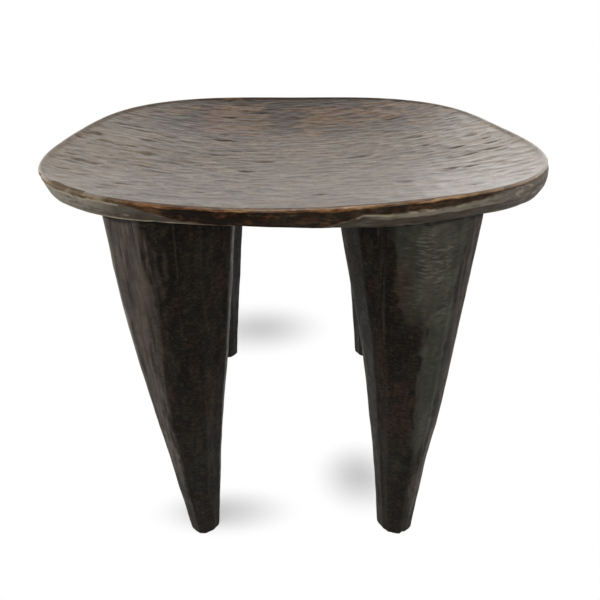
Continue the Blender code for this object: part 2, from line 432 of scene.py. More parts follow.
sway = SWAY * (mottle(top_x / SWAY_SIZE, top_y / SWAY_SIZE, 41) - 0.5)
bent = top_y - STROKE_BEND * top_x**2 + sway
scoop, _, top_tone = scoops(top_x / SCOOP_LENGTH, bent / SCOOP_WIDTH, 3)
crowd = rise(mottle(top_x / CROWD_SIZE[0], top_y / CROWD_SIZE[1], 51), 0.3, 0.7)
crowded = CROWD_LEAST + (1 - CROWD_LEAST) * crowd
top_bite = crowded * bites(top_x / BITE_LENGTH, bent / BITE_WIDTH, 17)
for left_end, right_end, down in BOLD_MARKS:
    left_place, right_place = seat_place(left_end, down), seat_place(right_end, down)
    bold_x, bold_y = (left_place + right_place) / 2
    bold_length = (right_place[0] - left_place[0]) / 2 + BOLD_SPARE
    off = (bent - (bold_y - STROKE_BEND * bold_x**2)) / BOLD_WIDTH
    ragged = 0.5 + mottle(top_x / 0.006, bent / 0.003, 53)
    bold = np.clip(1 - off**2 - ((top_x - bold_x) / bold_length) ** 2, 0, 1) * ragged
    top_bite = np.maximum(top_bite, BOLD_SHARE * bold)
fine_bite = bites(top_x / (BITE_LENGTH * 0.45), bent / (BITE_WIDTH * 0.55), 29, share=0.5)
dish = DISH_DEPTH * (1 - ring_share**2) ** DISH_POWER
hollow = HOLLOW_DEPTH * (mottle(top_x / HOLLOW_SIZE, top_y / HOLLOW_SIZE, 7) - 1)
fade = rise(ring_share, 1, UNCUT)
carved = SCOOP_DEPTH * (scoop - BRIM) - BITE_DEPTH * (top_bite + FINE_SHARE * fine_bite)
top_z = RIM_HEIGHT - dish + fade * (carved + hollow)
print("carving", round(float(np.ptp(carved) * 1000), 2), "mm deep")

# %% Seat: rows over the rim and under the seat
CORNER_ROWS, EDGE_ROWS, BEVEL_ROWS, UNDER_ROWS = 5, 24, 10, 8
CHOP_LENGTH, CHOP_HEIGHT, CHOP_DEPTH = 0.03, 0.011, 0.0011  # flats along edge and bevel
RIM_DENTS = 26  # places around the rim where a stroke or a knock took more
BEAD = 0.0007  # how far the corner under the dark edge stands out
END_BULGE = 0.0025  # how far the right-hand end swells out below its corner

reach, edge, bevel = reach_of(ring_turn), edge_of(ring_turn), bevel_of(ring_turn)
rim_x, rim_y = reach * np.cos(ring_turn), reach * np.sin(ring_turn)
flat = np.zeros(len(ring))


def rows_of(count):
    """Even shares from just above 0 to 1, as a column."""
    return np.linspace(0, 1, count + 1)[1:, None]


quarter = rows_of(CORNER_ROWS) * np.pi / 2
share = rows_of(EDGE_ROWS)
slope = rows_of(BEVEL_ROWS)
inner = rows_of(UNDER_ROWS)
inset = np.concatenate([
    CORNER_WIDTH * (1 - np.sin(quarter)) + flat,
    EDGE_UNDERCUT * share**1.5 - END_BULGE * rise(rim_x, 0.12, 0.2) * np.sin(np.pi * share),
    EDGE_UNDERCUT + (bevel - EDGE_UNDERCUT) * slope,
    bevel + (reach - bevel) * inner,
])
drop = np.concatenate([
    CORNER_DROP * (1 - np.cos(quarter)) + flat,
    CORNER_DROP + (edge - CORNER_DROP) * share,
    edge + (THICKNESS - edge) * slope,
    THICKNESS + 0 * inner + flat,
])
down_edge = np.concatenate([0 * quarter, share, 1 + slope, 2 + inner]) + flat
row = np.arange(len(inset))[:, None] + flat
print("rows", inset.shape)

# %% Seat: dark edge, flats, dents and the ragged corner
DARK_EDGE = (  # places across, in metres, and the share of the edge's height that is dark there
    (-0.2, 0.03), (-0.16, 0.03), (-0.135, 0.01), (-0.115, 0.08), (-0.09, 0.46), (-0.06, 1.0), (0.02, 1.04),
    (0.035, 0.7), (0.05, 0.36), (0.1, 0.32), (0.133, 0.25), (0.153, 0.12), (0.19, 0.0),
)
DARK_FRAY = 0.13
LEDGE_FROM, LEDGE_TO = 0.045, 0.17  # a ledge on the right of the front edge, painted pale: partly rubbed wood, partly painted highlight
LEDGE_LOW, LEDGE_OUT = 0.6, 0.001  # its share down the edge, and how far it stands out
DENT_NARROW, DENT_WIDER, DENT_DEPTH = 0.012, 0.03, 0.0016  # half-widths in radians, depth in metres

lap = np.arange(len(ring)) / len(ring) * 2 * np.pi * reach.mean()  # metres along the rim
fray = 0.6 * mottle(lap / 0.009, 0 * lap, 21) + 0.4 * mottle(lap / 0.0035, 0 * lap, 22)
dark_to = np.interp(rim_x, *zip(*DARK_EDGE)) + DARK_FRAY * (fray - 0.5)

cells = round(2 * np.pi * reach.mean() / CHOP_LENGTH)
way = np.arange(len(ring)) / len(ring) * cells + flat
chop, _, rim_tone = scoops(way + 0 * inset, (drop + 0.5 * inset) / CHOP_HEIGHT, 11, around=cells)
number = np.arange(RIM_DENTS)
dent_turn = 2 * np.pi * (number + 0.8 * scatter(number, 1.0, 5)) / RIM_DENTS
dent_width = DENT_NARROW + DENT_WIDER * scatter(number, 2.0, 5)
dent_depth = DENT_DEPTH * scatter(number, 3.0, 5)
gap = (ring_turn[:, None] - dent_turn + np.pi) % (2 * np.pi) - np.pi
dents = (dent_depth * bell(gap, dent_width)).sum(axis=1)

at_corner = bell(row - CORNER_ROWS, 5.0)
at_foot = bell(down_edge - 1, 0.25)
on_edge = rise(down_edge, 0, 0.3) * (down_edge <= 2)
flats = CHOP_DEPTH * np.clip(BRIM - chop, 0, BRIM)
bead = BEAD * bell(down_edge - dark_to, 0.1) * (0.4 + 1.2 * fray)
ledge = rise(rim_x, LEDGE_FROM, LEDGE_FROM + 0.02) * rise(rim_x, LEDGE_TO, LEDGE_TO - 0.03) * (rim_y < 0)
swell = LEDGE_OUT * ledge * bell(down_edge - LEDGE_LOW, 0.22)
inward = on_edge * flats + dents * (at_corner + 0.8 * at_foot) - bead * on_edge - swell
upward = flats * rise(down_edge, 1, 1.3) * 0.8
row_reach = np.maximum(reach - inset - inward, 0)
row_x, row_y = row_reach * np.cos(ring_turn), row_reach * np.sin(ring_turn)
row_z = RIM_HEIGHT - drop + upward
print("dents up to", round(float(dents.max() * 1000), 2), "mm,", cells, "flats around")

# %% Seat: points and faces


def bands(first, second):
    """Four-sided faces between two closed rings of point numbers."""
    return np.stack([first, second, np.roll(second, -1), np.roll(first, -1)], axis=1)


def over_seat(top, rows, end):
    """One number per seat point: the top's, then the rows', then the last point's."""
    return np.concatenate([np.ravel(top), (rows + 0 * inset)[:-1].ravel(), [end]])


count = len(ring)
seat_x = over_seat(top_x, row_x, 0)
seat_y = over_seat(top_y, row_y, 0)
seat_z = over_seat(top_z, row_z, RIM_HEIGHT - THICKNESS)
row_index = GRID * GRID + np.arange((len(inset) - 1) * count).reshape(-1, count)
walk = np.vstack([ring, row_index])
top_faces = [index[:-1, :-1], index[1:, :-1], index[1:, 1:], index[:-1, 1:]]
top_faces = np.stack(top_faces, axis=-1).reshape(-1, 4)
side_faces = np.concatenate([bands(walk[i], walk[i + 1]) for i in range(len(walk) - 1)])
end_faces = np.column_stack([walk[-1], np.full(count, len(seat_x) - 1), np.roll(walk[-1], -1)])
seat_faces = top_faces.tolist() + side_faces.tolist() + end_faces.tolist()
print("seat points", len(seat_x), "faces", len(seat_faces))

# %% [markdown]
# ## Wear on the seat
# Where hands lift the stool, the upper corner is rubbed to bare honey-coloured wood in a thin ragged
# line. Below it the edge is nearly black. Towards the ends only its upper part is, and the corner
# under the dark part is rubbed pale. A ledge on the right of the front edge is painted pale: partly
# rubbed wood, partly a painted highlight where it faces up. A pale line along the foot of the edge at
# both ends is a painted highlight. At the left the edge is weathered grey, painted darker towards its
# foot as painted shade on its rounded face, and the brink of the top is stained. A number between 0
# and 1 at every point says how much of each is there, and the finish reads it. The grain's own
# coordinates bend with the strokes.


# %% Seat: masks for wear, and the mesh
def closed_mesh(name, points, faces, attributes):
    """A smooth mesh from points, faces and, for each attribute, a number or three per point."""
    mesh = bpy.data.meshes.new(name)
    mesh.from_pydata(points.tolist(), [], faces)
    for label, values in attributes.items():
        values = np.ascontiguousarray(values, np.float32)
        kind, field = ("FLOAT_VECTOR", "vector") if values.ndim == 2 else ("FLOAT", "value")
        mesh.attributes.new(label, kind, "POINT").data.foreach_set(field, values.ravel())
    mesh.shade_smooth()
    item = bpy.data.objects.new(name, mesh)
    scene.collection.objects.link(item)
    return item


EDGE_NICK = (-0.1255, 0.78, 0.0032, 0.14)  # across, down the edge, half-length, half-height
EDGE_CHIPS = ((-0.152, 0.22, 0.007, 0.14), (-0.143, 0.4, 0.004, 0.1), (-0.118, 0.7, 0.003, 0.1))
SEAT_PATCHES = {  # place in plan and half-sizes, metres
    "warm": (
        (-0.057, 0.105, 0.044, 0.08), (0.085, 0.115, 0.11, 0.05), (0.183, 0.04, 0.016, 0.026),
        (-0.125, 0.15, 0.03, 0.022), (0.015, 0.085, 0.02, 0.03),
    ),
    "ruddy": (
        (-0.172, 0.118, 0.03, 0.03), (0.17, 0.092, 0.022, 0.016), (-0.098, 0.115, 0.016, 0.05),
        (0.052, 0.15, 0.03, 0.02),
    ),
}


def on_patches(patches, x, y):
    """How far inside the nearest frayed ellipse each point lies, from 0 to 1."""
    fray = 1.1 * (mottle(x / 0.022, y / 0.016, 61) - 0.5) + 0.7 * (mottle(x / 0.008, y / 0.005, 62) - 0.5)
    away = [np.hypot((x - px) / half_x, (y - py) / half_y) for px, py, half_x, half_y in patches]
    return ease((1.15 - np.min(away, axis=0) + fray) / 0.6)


def on_edge_at(across, low, half_length, half_height):
    """One spot on the front edge: an inverted paraboloid on an ellipse."""
    off = ((rim_x - across) / half_length) ** 2 + ((down_edge - low) / half_height) ** 2
    return np.clip(1.4 * (1 - off), 0, 1) * (rim_y < 0)


def at_left_front(x, y):
    """How near the left end of the front rim a place is, from 0 to 1."""
    return rise(x, -0.14, -0.16) * rise(y, -0.11, -0.14)


HONEY_FROM, HONEY_DEEP = 0.0012, 0.0044  # metres down the profile
BLACK_FROM, BLACK_FULL = 0.003, 0.0044
BRINK = 0.0045  # how far in from the left-hand corner the top is stained

steps = np.hypot(np.diff(inset, axis=0, prepend=CORNER_WIDTH), np.diff(drop, axis=0, prepend=0))
profile = np.cumsum(steps, axis=0)  # metres down from the top, over the corner
patch = mottle(lap / 0.03, 0 * lap, 23)
crumbs = mottle(lap / 0.006 + 0 * inset, row / 2.5, 24)
front = rise(np.sin(ring_turn), 0.3, -0.2)  # hands and knees rub the front half
worn_end = rise(rim_x, 0.11, 0.16)  # the right-hand end is worn broader
thin_end = rise(rim_x, -0.05, -0.11)  # the left-hand end is thinner
left_ledge = rise(rim_x, -0.1, -0.13)

honey_ends = rise(rim_x, -0.105, -0.155) + rise(rim_x, 0.05, 0.08)
honey_to = HONEY_DEEP - 0.0012 * honey_ends - 0.0008 * worn_end
honey_to = honey_to + 0.0026 * (patch - 0.4) + 0.0022 * (fray - 0.5)
honey = rise(profile, HONEY_FROM, HONEY_FROM + 0.0008) * ease((honey_to - profile) / 0.0014) * front
ledge_foot = LEDGE_LOW + 0.08 * (fray - 0.4)
ledge = ledge * ease((down_edge - dark_to) / 0.06) * ease((ledge_foot - down_edge) / 0.1)
nick = 0.8 * on_edge_at(*EDGE_NICK) * rise(crumbs, 0.1, 0.6)
black = ease((dark_to - down_edge + 0.08) / 0.22) * rise(profile, BLACK_FROM, BLACK_FULL)
black = np.maximum(black, nick)
below = ease((down_edge - dark_to + 0.08) / 0.22) * rise(row, 3, 5)
rubbed = bell(down_edge - dark_to - 0.065 * left_ledge, 0.05 + 0.015 * left_ledge)
rubbed = rubbed * ease((fray + crumbs - 0.75 + 0.38 * left_ledge) / 0.5)
rubbed = rubbed * (rise(rim_x, 0.02, 0.06) * (1 - worn_end) + left_ledge)
# a pale line along the foot of the edge at both ends: a painted highlight
foot_line = bell(down_edge - 0.98, 0.06) * (rise(rim_x, -0.04, -0.08) + rise(rim_x, 0.13, 0.16))
chips = 0.5 * sum(on_edge_at(*chip) for chip in EDGE_CHIPS) * rise(crumbs, 0.25, 0.55)
pale = np.maximum(rubbed, foot_line * (crumbs + 0.4 * thin_end)) * front
pale = np.maximum(pale, chips)
left = rise(rim_x, -0.095, -0.17) * rise(rim_y, 0.06, -0.02)
# fading down the edge: painted shade, lighter at the top of the rounded left end and darker below
left = left * (1 - 0.55 * rise(down_edge, 0.3, 1.1)) * rise(down_edge, 1.8, 1.3)
tip = rise(rim_x, 0.135, 0.165) * rise(row, 3.2, 4.4) * rise(down_edge, 0.85, 0.35) * front
inside = (1 - ring_share) * reach_of(turn)
ragged = 0.6 * (mottle(top_x / 0.007, top_y / 0.007, 64) - 0.5)
top_brink = at_left_front(top_x, top_y) * ease((BRINK - inside) / 0.002 + ragged)
row_brink = at_left_front(rim_x, rim_y) * (row < CORNER_ROWS)

seat_bent = seat_y - STROKE_BEND * seat_x**2
wander = seat_x + 0.05 * (mottle(seat_x / 0.03, seat_y / 0.025, 63) - 0.5)
zero = np.zeros(GRID * GRID)
top_only = over_seat(1 + zero, zero[:1], 0)
rim_marks = {
    "honey": honey, "black": black, "pale": pale, "left": left, "thin": thin_end, "ledge": ledge, "tip": tip,
}
seat_wear = {label: over_seat(zero, values, 0) for label, values in rim_marks.items()}
seat_wear |= {label: top_only * on_patches(places, seat_x, seat_y) for label, places in SEAT_PATCHES.items()}
seat_wear |= {
    "grain_place": np.column_stack([seat_x, seat_bent, seat_z]),
    "below": over_seat(zero, below, 1),
    "under": over_seat(zero, rise(down_edge, 1.0, 1.4), 1),
    "brink": over_seat(top_brink, row_brink, 0),
    "tone": over_seat(top_tone, rim_tone, 0.5),
    "bite": over_seat(np.maximum(top_bite, 0.6 * fine_bite), zero[:1], 0),
    "back": rise(seat_y, -0.005, 0.125),
    "right": rise(seat_x, -0.06, 0.04),
    "tips": rise(wander, 0.11, 0.21) + rise(wander, -0.09, -0.19),
}
seat = closed_mesh("carved_seat", np.column_stack([seat_x, seat_y, seat_z]), seat_faces, seat_wear)
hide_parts("seat")
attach(seat, "root")
print("seat triangles", sum(len(f) - 2 for f in seat_faces))

# %% [markdown]
# ## The legs
# A leg is a tapering column that was trimmed by long strokes from head to foot, so its section is a
# many-sided figure with uneven flats. The imported legs give the middle and the reach in every
# direction at each height. The lower envelope of long bowls breaks the flats up, and a second, smaller
# set of strokes roughens them. The head runs a little way into the seat, and a thin line below it is
# painted dark: painted shade under the seat, partly dirt.

# %% Legs: sections read from a packed leg
HEAD_INTO_SEAT = 0.003
COMPASS = 720  # directions in which a section is measured
RING_POINTS = 10  # a level with at least this many points is a ring
SIDE_STEPS = 24
FULL_TURN = 2 * np.pi


def sections_of(node):
    """Heights and middles of a leg's rings, and the reach of each ring in every direction.

    A ring's corners are joined by straight sides, the sides are walked in small steps, and the
    steps' distances are read off by direction.
    """
    points = np.unique(points_of(node).round(5), axis=0)
    levels, counts = np.unique(points[:, 2].round(4), return_counts=True)
    levels = levels[(counts >= RING_POINTS) & (levels > 0) & (levels < RIM_HEIGHT - THICKNESS - 0.01)]
    compass = np.arange(COMPASS) / COMPASS * FULL_TURN
    middles, reaches = [], []
    for level in levels:
        corners = points[abs(points[:, 2] - level) < 2e-4][:, :2]
        middle = corners.mean(axis=0)
        arms = corners - middle
        arms = arms[np.argsort(np.arctan2(arms[:, 1], arms[:, 0]))]
        steps = np.linspace(0, 1, SIDE_STEPS, endpoint=False)[:, None, None]
        sides = (arms + (np.roll(arms, -1, axis=0) - arms) * steps).transpose(1, 0, 2).reshape(-1, 2)
        bearing = np.arctan2(sides[:, 1], sides[:, 0])
        reaches.append(np.interp(compass, bearing, np.hypot(*sides.T), period=FULL_TURN))
        middles.append(middle)
    return levels, np.array(middles), np.array(reaches)


def blurred(reaches, half):
    """A mean over a few directions either side."""
    return sum(np.roll(reaches, k, axis=-1) for k in range(-half, half + 1)) / (2 * half + 1)


levels, middles, reaches = sections_of("leg_front_left")
print("rings", levels.round(3), "reach", reaches.mean(axis=1).round(4))

# %% Legs: surface of one leg
LEG_AROUND, LEG_ROWS = 224, 280
LEG_FULLNESS = {  # bearing and half-width in degrees, middle and half-height, how much more wood
    "leg_front_left": (
        (195, 40, 0.26, 0.05, 0.0012), (5, 40, 0.02, 0.06, 0.0018), (8, 40, 0.2, 0.07, 0.001),
        (195, 40, 0.1, 0.05, -0.0008),
    ),
    "leg_front_right": (
        (170, 35, 0.3, 0.05, 0.0034), (350, 35, 0.31, 0.04, 0.0018), (180, 40, 0.03, 0.06, 0.0016),
        (348, 35, 0.09, 0.03, -0.0016),
    ),
    "leg_rear_left": ((0, 50, 0.2, 0.15, 0.0016),),
    "leg_rear_right": ((180, 50, 0.25, 0.08, 0.0016),),
}
FLAT_BLUR, CORNER_BLUR = 3, 22  # directions either side
CORNER_HIGH = 0.0008  # how far a sharp corner stands over its neighbourhood
SWING = 0.1  # how far the flats wander round the leg, as an angle
CUTS, CUT_LENGTH, CUT_DEPTH = 9, 0.065, 0.0012  # strokes that break up the flats
NICKS, NICK_LENGTH, NICK_DEPTH = 19, 0.026, 0.0007  # smaller strokes over them
FOOT_EASE = 0.004
SHADE_AND_GRIME_REACH = 0.0045  # how far down from the seat the painted shade and dirt reach
FOOT_CHIPS = {"leg_front_right": (5.05, 0.1, 0.005, 0.001)}  # bearing, half-width, height, depth


def leg_surface(node, seed):
    """Points on a grid of rows from foot to head, with bearing and the strokes' marks."""
    levels, middles, reaches = sections_of(node)
    flats = blurred(reaches, FLAT_BLUR)
    corners = np.clip((reaches - blurred(reaches, CORNER_BLUR)) / CORNER_HIGH, 0, 1)
    bearing = np.linspace(0, FULL_TURN, LEG_AROUND, endpoint=False)[None]

    def at(values, height, column):
        """One column of the rings' values at any height, straight between rings and past the last."""
        lower = np.clip(np.searchsorted(levels, height) - 1, 0, len(levels) - 2)
        part = (height - levels[lower]) / (levels[lower + 1] - levels[lower])
        return values[lower, column] * (1 - part) + values[lower + 1, column] * part

    neck = np.full(bearing.shape, RIM_HEIGHT - THICKNESS)
    compass = np.round(bearing / FULL_TURN * COMPASS).astype(int) % COMPASS
    head_x = at(middles, neck, 0) + at(flats, neck, compass) * np.cos(bearing)
    head_y = at(middles, neck, 1) + at(flats, neck, compass) * np.sin(bearing)
    ceiling = underside_of(head_x, head_y)
    height = np.linspace(0, 1, LEG_ROWS)[:, None] * (ceiling + HEAD_INTO_SEAT)
    bearing = bearing + 0 * height
    # a dark line under the seat: painted shade, partly dirt
    wander = SHADE_AND_GRIME_REACH * (0.4 + 1.2 * mottle(bearing / 0.15, 0 * height, seed + 5))
    shade_and_grime = ease(1 - (ceiling - height) / wander)

    swing = SWING * (mottle(height / 0.06, 3 * np.cos(bearing), seed) - 0.5)
    compass = np.round((bearing + swing) / FULL_TURN * COMPASS).astype(int) % COMPASS
    way = bearing / FULL_TURN + 0.3 * swing
    cut, _, cut_tone = scoops(way * CUTS, height / CUT_LENGTH, seed, CUTS, soft=0.3)
    nick, nick_ridge, nick_tone = scoops(way * NICKS, height / NICK_LENGTH, seed + 9, NICKS, soft=0.3)
    under = np.clip(1 - height / FOOT_EASE, 0, 1)
    eased = FOOT_EASE * (1 - np.sqrt(1 - under**2)) * 0.7
    reach = at(flats, height, compass) - eased
    for stroke, depth in ((cut, CUT_DEPTH), (nick, NICK_DEPTH)):
        reach = reach + depth * (np.clip(stroke, 0, BRIM) - BRIM / 2)
    for middle, half, level, half_height, more in LEG_FULLNESS[node]:
        away = (np.degrees(bearing) - middle + 180) % 360 - 180
        reach = reach + more * bell(away, half) * bell(height - level, half_height)
    if node in FOOT_CHIPS:
        toward, half, high, deep = FOOT_CHIPS[node]
        reach = reach - deep * bell(bearing - toward, half) * rise(height, high, 0)
    x = at(middles, height, 0) + reach * np.cos(bearing)
    y = at(middles, height, 1) + reach * np.sin(bearing)
    marks = {
        "corner": at(corners, height, compass), "cut_tone": cut_tone, "nick_tone": nick_tone,
        "nick_ridge": nick_ridge, "shade_and_grime": shade_and_grime,
    }
    return np.stack([x, y, height], axis=-1), bearing, marks


grid, bearing, marks = leg_surface("leg_front_left", 31)
print("leg grid", grid.shape, "height", grid[..., 2].max().round(4))

# %% [markdown]
# ## Flats of different colour
# Smoke, grease and sun have left the flats of a leg in different colours. On the outer flats of the
# front legs the pale dusty and rubbed patches are partly painted sheen and painted highlight. Each is
# a patch: a middle direction and half-width in degrees, seen from above and counted from the
# right-hand end, a lowest and highest place, and how strong it is. Its border is frayed by noise.

# %% Legs: coloured flats and four closed meshes
LEG_SEEDS = {"leg_front_left": 31, "leg_front_right": 57, "leg_rear_left": 83, "leg_rear_right": 119}
KINDS = ("dust_and_sheen", "green", "red", "sooty", "rubbed_and_highlight")
FLAT_PATCHES = {  # kind, middle and half-width in degrees, lowest and highest place, share
    "leg_front_left": (
        ("dust_and_sheen", 225, 38, 0.22, 0.36, 0.9), ("dust_and_sheen", 215, 30, 0.04, 0.36, 0.8),
        ("dust_and_sheen", 252, 17, 0.15, 0.28, 0.5), ("dust_and_sheen", 3, 9, 0.04, 0.33, 0.6),
        ("sooty", 276, 14, 0.13, 0.33, 0.8), ("rubbed_and_highlight", 203, 14, 0.06, 0.36, 0.3),
        ("green", 312, 12, 0.25, 0.33, 0.35), ("green", 324, 16, 0.2, 0.26, 0.35),
        ("green", 250, 10, 0.15, 0.2, 0.35), ("green", 290, 18, 0.04, 0.15, 0.25),
        ("red", 288, 9, 0.24, 0.29, 0.9), ("red", 332, 12, 0.23, 0.3, 0.8),
        ("red", 322, 16, 0.13, 0.21, 0.7), ("red", 262, 14, 0.06, 0.12, 0.8),
        ("green", 100, 30, 0.1, 0.3, 0.3), ("red", 40, 20, 0.05, 0.25, 0.8),
        ("green", 150, 20, 0.0, 0.2, 0.3), ("dust_and_sheen", 130, 25, 0.15, 0.32, 0.3),
    ),
    "leg_front_right": (
        ("green", 281, 34, 0.22, 0.36, 1.0), ("green", 294, 18, 0.08, 0.29, 0.9),
        ("rubbed_and_highlight", 282, 16, 0.22, 0.35, 0.2), ("sooty", 316, 5, 0.1, 0.34, 0.5),
        ("sooty", 238, 7, 0.17, 0.34, 1.0), ("sooty", 258, 14, 0.18, 0.25, 0.9),
        ("red", 254, 9, 0.23, 0.31, 1.0), ("red", 222, 10, 0.15, 0.25, 0.7),
        ("red", 250, 22, 0.09, 0.2, 0.9), ("green", 238, 22, 0.03, 0.14, 0.3),
        ("green", 190, 12, 0.22, 0.29, 0.35), ("red", 196, 10, 0.25, 0.3, 0.8),
        ("dust_and_sheen", 174, 12, 0.03, 0.32, 0.7), ("dust_and_sheen", 328, 12, 0.03, 0.36, 0.75),
        ("dust_and_sheen", 308, 20, 0.0, 0.1, 0.5), ("rubbed_and_highlight", 343, 9, 0.06, 0.3, 0.4),
        ("green", 70, 30, 0.12, 0.32, 0.3), ("red", 130, 20, 0.05, 0.25, 0.8),
        ("dust_and_sheen", 30, 25, 0.12, 0.33, 0.35),
    ),
    "leg_rear_left": (
        ("dust_and_sheen", 170, 26, 0.2, 0.34, 0.6), ("green", 95, 28, 0.06, 0.32, 0.35),
        ("red", 50, 18, 0.05, 0.3, 0.8), ("sooty", 130, 10, 0.08, 0.33, 0.8),
        ("green", 300, 24, 0.05, 0.3, 0.7), ("red", 240, 16, 0.08, 0.28, 0.8),
        ("dust_and_sheen", 70, 16, 0.12, 0.3, 0.3),
    ),
    "leg_rear_right": (
        ("green", 10, 30, 0.1, 0.34, 0.35), ("green", 80, 30, 0.08, 0.33, 0.3),
        ("red", 125, 18, 0.04, 0.3, 0.8), ("sooty", 55, 9, 0.08, 0.33, 0.8),
        ("green", 230, 20, 0.05, 0.3, 0.6), ("red", 300, 16, 0.08, 0.28, 0.8),
        ("dust_and_sheen", 345, 18, 0.14, 0.34, 0.4), ("dust_and_sheen", 100, 16, 0.15, 0.33, 0.3),
    ),
}


def flat_colours(node, bearing, height, seed):
    """How much of each kind of patch is at every point: its share in bearing times that in height."""
    degrees = np.degrees(bearing)
    fray = 20 * (mottle(degrees / 12, height / 0.03, seed) - 0.5)
    fray = fray + 12 * (mottle(degrees / 5, height / 0.007, seed + 1) - 0.5)
    found = {kind: np.zeros(bearing.shape) for kind in KINDS}
    for kind, middle, half, low, high, share in FLAT_PATCHES[node]:
        away = abs((degrees - middle + 180) % 360 - 180) + fray * min(half / 20, 1)
        upright = share * rise(height, low, low + 0.06) * rise(height, high, high - 0.03)
        found[kind] = np.maximum(found[kind], ease((half - away) / 12 + 0.5) * upright)
    return found


def make_leg(node, seed):
    """Close the grid with a point at the foot and one at the head, and name it for the node."""
    grid, bearing, marks = leg_surface(node, seed)
    marks |= flat_colours(node, bearing, grid[..., 2], seed)
    rows, around = bearing.shape
    points = np.concatenate([grid.reshape(-1, 3), [grid[0].mean(axis=0)], [grid[-1].mean(axis=0)]])
    number = np.arange(rows * around).reshape(rows, around)
    sides = np.concatenate([bands(number[i + 1], number[i]) for i in range(rows - 1)])
    foot = np.column_stack([np.roll(number[0], -1), number[0], np.full(around, rows * around)])
    head = np.column_stack([number[-1], np.roll(number[-1], -1), np.full(around, rows * around + 1)])
    marks = {label: np.concatenate([values.ravel(), [0, 0]]) for label, values in marks.items()}
    leg = closed_mesh("hewn_" + node, points, sides.tolist() + foot.tolist() + head.tolist(), marks)
    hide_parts(node)
    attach(leg, "root")
    return leg


legs = {node: make_leg(node, seed) for node, seed in LEG_SEEDS.items()}
print("legs", {node: len(leg.data.polygons) for node, leg in legs.items()})

# %% [markdown]
# ## How a finish is stacked
# Each finish is a ground colour with thin layers over it. A layer has its strongest share, its tint
# and one or more masks that say where it lies, each with the value at which it begins and the one at
# which it is full. A mask's bare name counts from 0 to 1. A mask is a mark on the mesh or a pattern:
# soft noise whose lengths along the three axes are real sizes in metres.


# %% Finish: patterns, marks and layers in one material
WAX_ROUGHNESS, WOOD_IOR, BUMP_STRENGTH = 0.4, 1.5, 0.5


def make_finish(name, place, patterns, marks, ground, layers, rough, shine, wax, raised):
    """A wood finish from its parts, with roughness from spots and a bump from one raised pattern.

    shine is the specular level of the wood and wax the weight of a thin coat over it.
    """
    finish = bpy.data.materials.new(name)
    finish.use_nodes = True
    tree = finish.node_tree
    shader = tree.nodes["Principled BSDF"]
    if place is None:
        where = add(tree, "TexCoord", out="Object")
    else:
        where = add(tree, "Attribute", out="Vector", attribute_name=place)
    masks = {mark: add(tree, "Attribute", out="Fac", attribute_name=mark) for mark in marks}
    for label, (size, detail) in patterns.items():
        scaled = add(tree, "VectorMath", {0: where, 1: [1 / s for s in size]}, out=0, operation="MULTIPLY")
        masks[label] = add(tree, "TexNoise", {"Vector": scaled, "Scale": 1.0, "Detail": detail}, out="Fac")
    colour = linear(ground)
    for share, tint, *wheres in layers:
        for reading in wheres:
            mask, begins, full = (reading, 0, 1) if isinstance(reading, str) else reading
            part = add(tree, "MapRange", {0: masks[mask], 1: begins, 2: full}, **EASED)
            share = add(tree, "Math", {0: part, 1: share}, **TIMES)
        colour = add(tree, "Mix", {0: share, 6: colour, 7: linear(tint)}, **BLENDED)
    gloss = add(tree, "MapRange", {0: masks["spot"], 1: 0.3, 2: 0.7, 3: rough[0], 4: rough[1]}, **EASED)
    pattern, distance = raised
    relief = {"Height": masks[pattern], "Strength": BUMP_STRENGTH, "Distance": distance}
    bump = add(tree, "Bump", relief, out=0)
    tree.links.new(colour, shader.inputs["Base Color"])
    tree.links.new(gloss, shader.inputs["Roughness"])
    tree.links.new(bump, shader.inputs["Normal"])
    shader.inputs["IOR"].default_value = WOOD_IOR
    shader.inputs["Specular IOR Level"].default_value = shine
    shader.inputs["Coat Weight"].default_value = wax
    shader.inputs["Coat Roughness"].default_value = WAX_ROUGHNESS
    return finish
